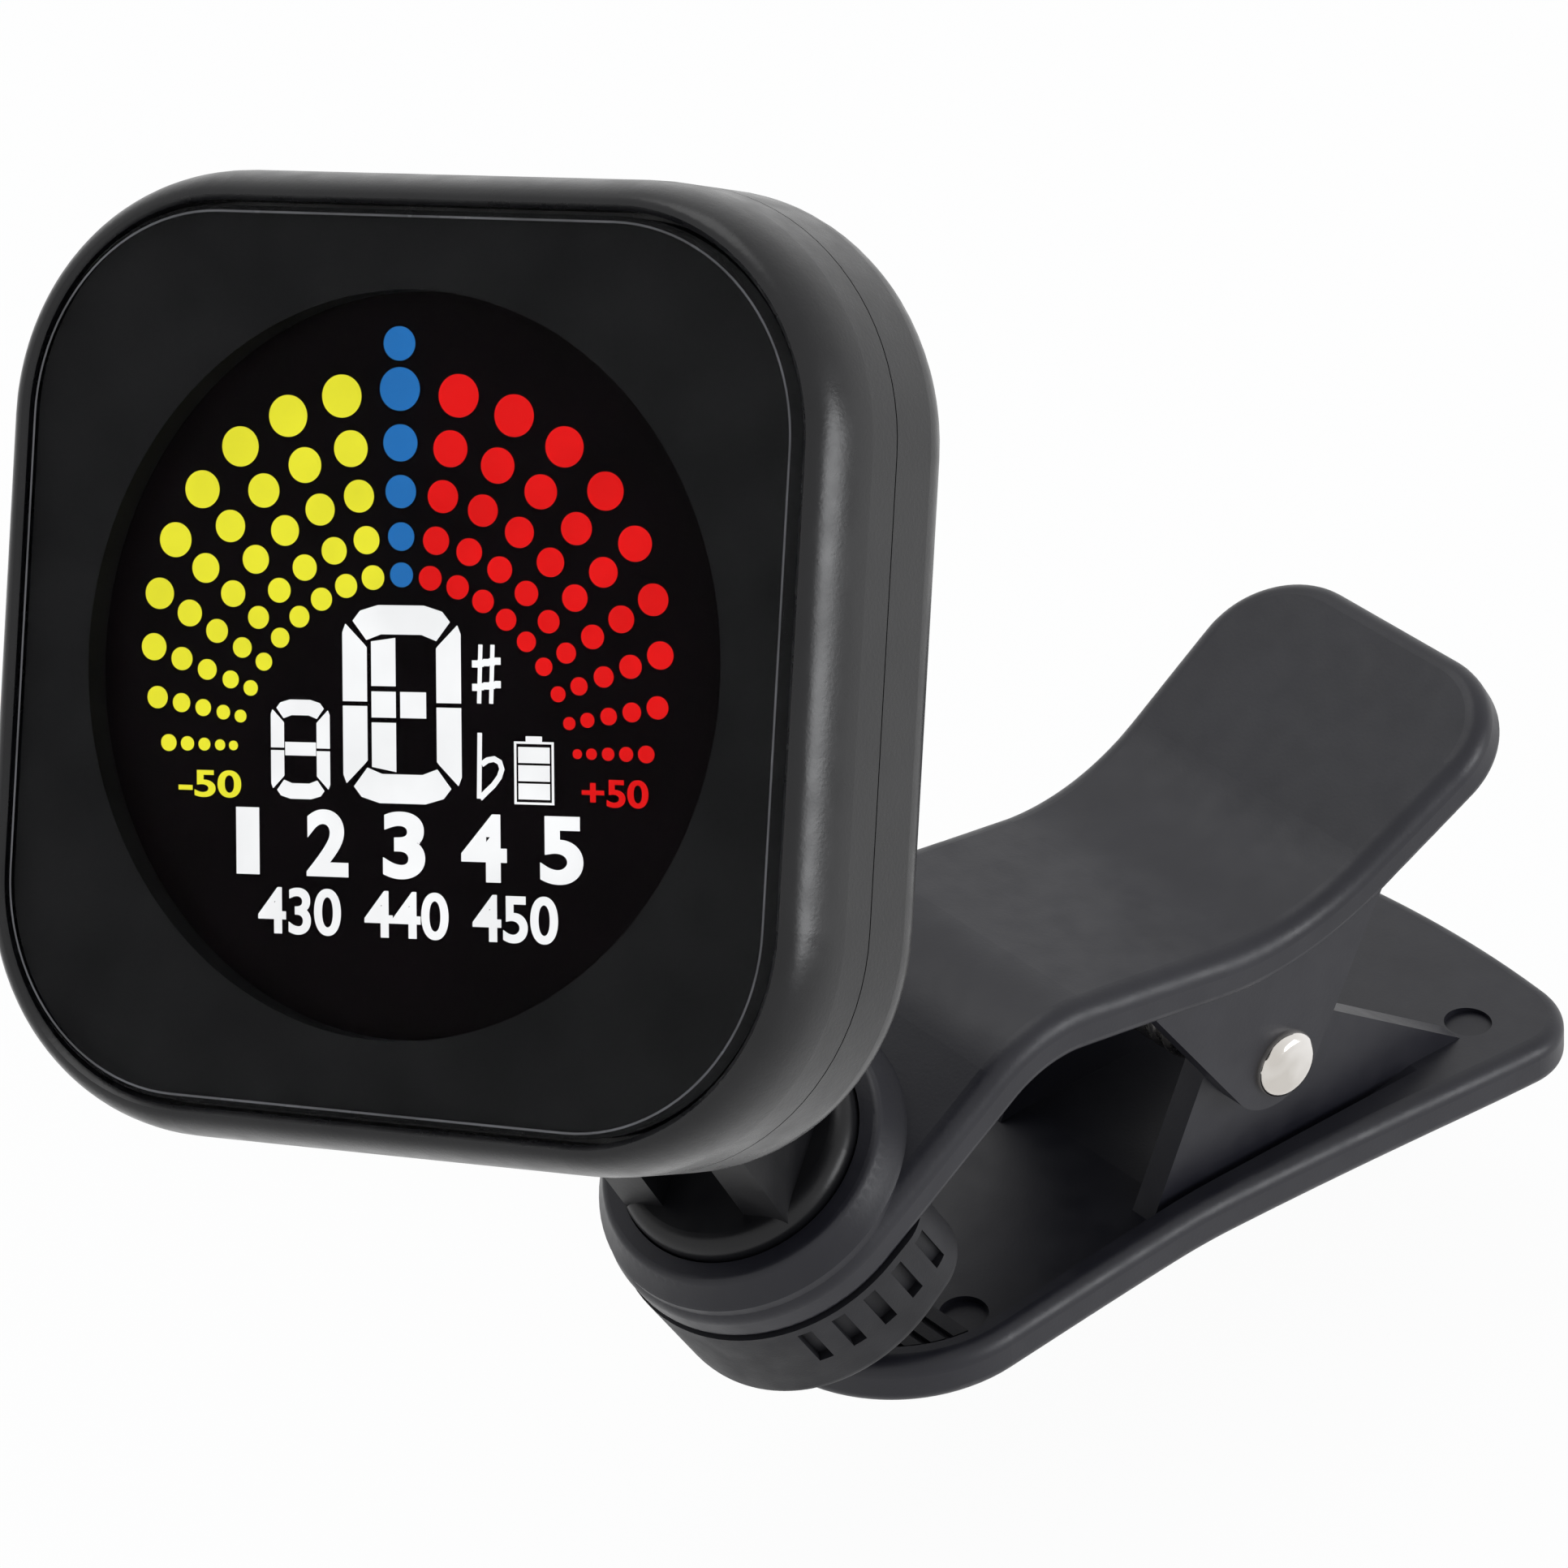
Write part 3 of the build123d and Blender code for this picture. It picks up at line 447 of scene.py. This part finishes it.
def lit(name, colour, strength):
    """A segment that glows evenly, with the faint mottling of a diffuser behind it."""
    material = finish(name, colour, colour, (0.3, 0.4), 0.3, 0.001, specular=0.02)
    tree = material.node_tree
    shader = tree.nodes["Principled BSDF"]
    shader.inputs["Base Color"].default_value = (0, 0, 0, 1)
    for link in list(shader.inputs["Base Color"].links):
        tree.links.remove(link)
    ramp = tree.nodes["Color Ramp"]
    ramp.color_ramp.elements[0].color = (*[c * LIT_DIP for c in colour], 1)
    tree.links.new(ramp.outputs["Color"], shader.inputs["Emission Color"])
    shader.inputs["Emission Strength"].default_value = strength
    return material


lit_yellow = lit("lit_yellow", (0.871, 0.831, 0.037), 1.0)
lit_blue = lit("lit_blue", (0.021, 0.165, 0.479), 1.0)
lit_red = lit("lit_red", (0.807, 0.009, 0.009), 1.0)
lit_white = lit("lit_white", (1.0, 1.0, 1.0), 1.0)
print("segment colours ready")

# %% Putting a flat drawing on the display
SEGMENT_LIFT = 0.02 * MM
SEGMENT_T = 0.04 * MM
PRINT_MIDDLE = (-0.54, 0.08)  # the drawing's origin on the cell
PRINT_ACROSS = (0.986, 0.038)  # a step across the drawing, and how it climbs
PRINT_UP = (-0.0765, 1.004)  # a step up the drawing, and how it leans


def on_display(x, y, lift=0.0):
    """A place in metres from display coordinates in millimetres."""
    u = PRINT_MIDDLE[0] + PRINT_ACROSS[0] * x + PRINT_UP[0] * y
    v = PRINT_MIDDLE[1] + PRINT_ACROSS[1] * x + PRINT_UP[1] * y
    flat = face_centre + u * MM * across + v * MM * upward
    return flat + (display_front + SEGMENT_LIFT + lift - flat.dot(outward)) * outward


def segments(name, outlines, material):
    """One mesh of thin raised segments, each from a closed outline in display coordinates."""
    form = bmesh.new()
    for outline in outlines:
        low = [form.verts.new(on_display(x, y)) for x, y in outline]
        high = [form.verts.new(on_display(x, y, SEGMENT_T)) for x, y in outline]
        form.faces.new(high)
        form.faces.new(low[::-1])
        for i in range(len(low)):
            j = (i + 1) % len(low)
            form.faces.new((low[i], low[j], high[j], high[i]))
    bmesh.ops.recalc_face_normals(form, faces=form.faces)
    mesh = bpy.data.meshes.new(name)
    form.to_mesh(mesh)
    form.free()
    mesh.materials.append(material)
    piece = bpy.data.objects.new(name, mesh)
    bpy.context.scene.collection.objects.link(piece)
    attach(piece, "head")
    print(name, len(outlines), "segments")


# %% [markdown]
# ### The fan of dots
# Nineteen arms of five dots spread from straight up to level on each side.  The dots grow
# outwards along an arm and shrink from the middle arm to the side arms, which a short formula
# says better than ninety-five typed positions.  The middle arm has a sixth dot at its tip.

# %% The fan of dots
FAN_Y = -3.96
ALONG = (1.0, 0.71, 0.448, 0.206, 0.0)
DOT_H = (1.94, 1.65, 1.47, 1.26, 1.10)
DOT_ASPECT = 1.1
DOT_SIDES = 40
ARM_STEP, ARM_CLOSING = 11.4, 0.167  # degrees between arms, and how they close up
REACH, REACH_LOSS, REACH_FROM, REACH_POWER = 16.15, 0.225, 3, 1.5
START, START_GAIN = 7.9, 0.0167
DOT_LOSS = 0.0075
TIP_DOT = (18.17, 1.53)  # the sixth dot's distance and height


def dot(x, y, height):
    """An upright oval a little wider than high."""
    angles = [2 * math.pi * i / DOT_SIDES for i in range(DOT_SIDES)]
    return [
        (x + height * DOT_ASPECT / 2 * math.cos(a), y + height / 2 * math.sin(a)) for a in angles
    ]


def arm(k, way):
    """The five dots of arm k, to the right for way 1 and to the left for way -1."""
    angle = math.radians(ARM_STEP * k - ARM_CLOSING * k * k)
    outer = REACH - REACH_LOSS * max(0, k - REACH_FROM) ** REACH_POWER
    inner = START + START_GAIN * k * k
    small = 1 - DOT_LOSS * k * k
    for share, height in zip(ALONG, DOT_H):
        r = inner + share * (outer - inner)
        yield dot(way * r * math.sin(angle), FAN_Y + r * math.cos(angle), height * small)


segments("fan_left", [d for k in range(1, 10) for d in arm(k, -1)], lit_yellow)
segments("fan_right", [d for k in range(1, 10) for d in arm(k, 1)], lit_red)
segments("fan_middle", [*arm(0, 1), dot(0, FAN_Y + TIP_DOT[0], TIP_DOT[1])], lit_blue)

# %% [markdown]
# ### The segmented figures
# The note figure has six outer bars with slanted joints and rounded outer corners, and three
# inner bars that complete its letters.  The small figure is the same with one inner bar.  Each
# bar is an outline; its mirror image gives the bar on the other side.


# %% Segmented figures
def mirrored(points, cx=0.0, cy=None):
    """The outline turned over left to right about cx, or top to bottom about cy."""
    if cy is None:
        return [(2 * cx - x, y) for x, y in points]
    return [(x, 2 * cy - y) for x, y in points]


def moved(outlines, cx, cy):
    """The outlines shifted by cx and cy."""
    return [[(x + cx, y + cy) for x, y in outline] for outline in outlines]


def ring_bars(w, h, t, gap):
    """The six outer bars of a segmented figure: its top, bottom and two on each side."""
    a, b = w / 2, h / 2
    cap = [
        (-a + 0.28 * t + gap, b - 0.55 * t), (-a + 0.75 * t, b - 0.2 * t), (-a + 1.5 * t, b),
        (a - 1.5 * t, b), (a - 0.75 * t, b - 0.2 * t), (a - 0.28 * t - gap, b - 0.55 * t),
        (a - t, b - 1.2 * t),
        (a - 1.6 * t, b - t), (-a + 1.6 * t, b - t), (-a + t, b - 1.2 * t),
    ]
    post = [
        (-a, gap / 2), (-a, b - 0.95 * t), (-a + 0.13 * t, b - 0.66 * t),
        (-a + t - gap * 0.6, b - 1.2 * t - gap),
        (-a + t, b - 1.3 * t - gap), (-a + t, gap / 2),
    ]
    bars = [cap, mirrored(cap, cy=0)]
    for one in (post, mirrored(post)):
        bars += [one, mirrored(one, cy=0)]
    return bars


# whole width, whole height, thickness of a bar and gap between bars
BIG_W, BIG_H, BIG_T, BIG_GAP = 6.35, 8.8, 1.3, 0.2
big = ring_bars(BIG_W, BIG_H, BIG_T, BIG_GAP)
inner_left, inner_mid, inner_right = -1.62, -0.33, 1.55
big += [
    [(inner_left, 0.8), (inner_left, 2.78), (inner_mid, 2.95), (inner_mid, 0.8)],
    [(inner_left, -0.6), (inner_left, 0.56), (inner_mid, 0.56), (inner_mid, -0.6)],
    [
        (inner_mid + 0.26, -0.6), (inner_mid + 0.26, 0.56),
        (inner_right - 0.25, 0.56), (inner_right - 0.25, -0.6),
    ],
    [(inner_left, -0.82), (inner_left, -2.8), (inner_mid, -3.0), (inner_mid, -0.82)],
]
SMALL_W, SMALL_H, SMALL_T, SMALL_GAP = 3.2, 4.44, 0.7, 0.12
small = ring_bars(SMALL_W, SMALL_H, SMALL_T, SMALL_GAP)
small.append([(-0.82, -0.28), (-0.82, 0.32), (0.84, 0.32), (0.84, -0.28)])
BIG_PLACE = (-0.05, -1.81)
SMALL_PLACE = (-5.57, -3.91)
segments("note_figure", moved(big, *BIG_PLACE), lit_white)
segments("octave_figure", moved(small, *SMALL_PLACE), lit_white)


# %% [markdown]
# ### Signs and the battery mark
# The sharp and flat signs are strokes.  A stroke is a path given a width, so one helper thickens
# a path into an outline, and the battery mark is made from the same strokes and three bars.

# %% Strokes, signs and battery mark
def stroke(points, width):
    """The outline of a band of this width along an open path."""
    left, right = [], []
    for i, (x, y) in enumerate(points):
        x0, y0 = points[max(i - 1, 0)]
        x1, y1 = points[min(i + 1, len(points) - 1)]
        length = math.hypot(x1 - x0, y1 - y0)
        nx, ny = -(y1 - y0) / length * width / 2, (x1 - x0) / length * width / 2
        left.append((x + nx, y + ny))
        right.append((x - nx, y - ny))
    return left + right[::-1]


def box(x0, y0, x1, y1):
    """An upright rectangle from its lower left and upper right corners."""
    return [(x0, y0), (x1, y0), (x1, y1), (x0, y1)]


sharp = [stroke([(x, -1.3), (x + 0.1, 1.3)], 0.2) for x in (-0.4, 0.24)]
for y in (-0.75, 0.28):
    sharp += [
        box(-0.75 + i * 0.3, y + i * 0.035, -0.45 + i * 0.3, y + i * 0.035 + 0.32)
        for i in range(5)
    ]
flat = [stroke([(-0.66, -1.42), (-0.6, 1.48)], 0.22)]
bow = [
    (-0.5, 0.1), (-0.2, 0.28), (0.15, 0.34), (0.45, 0.2), (0.56, -0.1), (0.42, -0.45),
    (0.1, -0.82), (-0.25, -1.1), (-0.6, -1.4),
]
flat.append(stroke(bow, 0.26))
battery = [box(-1.04, -1.5, -0.94, 1.26), box(0.94, -1.5, 1.04, 1.26), box(-0.94, -1.5, 0.94, -1.4),
           box(-0.94, 1.16, 0.94, 1.26), box(-0.42, 1.26, 0.42, 1.5)]
battery += [box(-0.82, -1.28 + 0.8 * i, 0.82, -0.58 + 0.8 * i) for i in range(3)]
SHARP_PLACE = (4.49, -0.39)
FLAT_PLACE = (4.71, -4.46)
BATTERY_PLACE = (6.97, -4.58)
segments("sharp_sign", moved(sharp, *SHARP_PLACE), lit_white)
segments("flat_sign", moved(flat, *FLAT_PLACE), lit_white)
segments("battery_mark", moved(battery, *BATTERY_PLACE), lit_white)

# %% [markdown]
# ### Numbers
# A tuner shows plain numbers: the meter's ends, the strings and reference pitches.  A text
# object gives their shapes, and turning it into a mesh lets it lie on the cell like the rest.


# %% Numbers
def numbers(name, words, x, y, height, width, material, weight=0.02):
    """Plain figures centred on x, y, scaled to a height and a whole width in millimetres."""
    curve = bpy.data.curves.new(name, "FONT")
    curve.body = words
    curve.align_x = "CENTER"
    curve.offset = weight
    curve.extrude = 0.01
    writer = bpy.data.objects.new(name + "_text", curve)
    bpy.context.scene.collection.objects.link(writer)
    bpy.context.view_layer.update()
    mesh = bpy.data.meshes.new_from_object(writer)
    bpy.data.objects.remove(writer)
    low = [min(v.co[i] for v in mesh.vertices) for i in range(3)]
    high = [max(v.co[i] for v in mesh.vertices) for i in range(3)]
    for vertex in mesh.vertices:
        share = [(vertex.co[i] - low[i]) / (high[i] - low[i]) for i in range(3)]
        place_x = x + (share[0] - 0.5) * width
        place_y = y + (share[1] - 0.5) * height
        vertex.co = on_display(place_x, place_y, share[2] * SEGMENT_T)
    mesh.materials.clear()
    mesh.materials.append(material)
    mesh.name = name
    piece = bpy.data.objects.new(name, mesh)
    bpy.context.scene.collection.objects.link(piece)
    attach(piece, "head")
    print(name, words)


METER_H, METER_W = 1.23, 3.45
STRING_Y, STRING_H, STRING_WEIGHT = -8.06, 3.0, 0.035
PITCH_X, PITCH_STEP, PITCH_Y, PITCH_H, PITCH_W = -5.7, 5.8, -11.15, 2.1, 4.5
numbers("meter_low", "-50", -10.58, -5.55, METER_H, METER_W, lit_yellow)
numbers("meter_high", "+50", 11.2, -5.5, METER_H, METER_W, lit_red)
STRING_X = (-8.5, -4.15, 0.0, 4.28, 8.38)
STRING_W = (1.25, 2.25, 2.25, 2.4, 2.25)  # the figure 1 is narrower than the others
for i, (x, width) in enumerate(zip(STRING_X, STRING_W)):
    figure = str(i + 1)
    numbers(f"string_{figure}", figure, x, STRING_Y, STRING_H, width, lit_white, STRING_WEIGHT)
for i, pitch in enumerate(("430", "440", "450")):
    pitch_x = PITCH_X + PITCH_STEP * i
    numbers(f"pitch_{pitch}", pitch, pitch_x, PITCH_Y, PITCH_H, PITCH_W, lit_white)
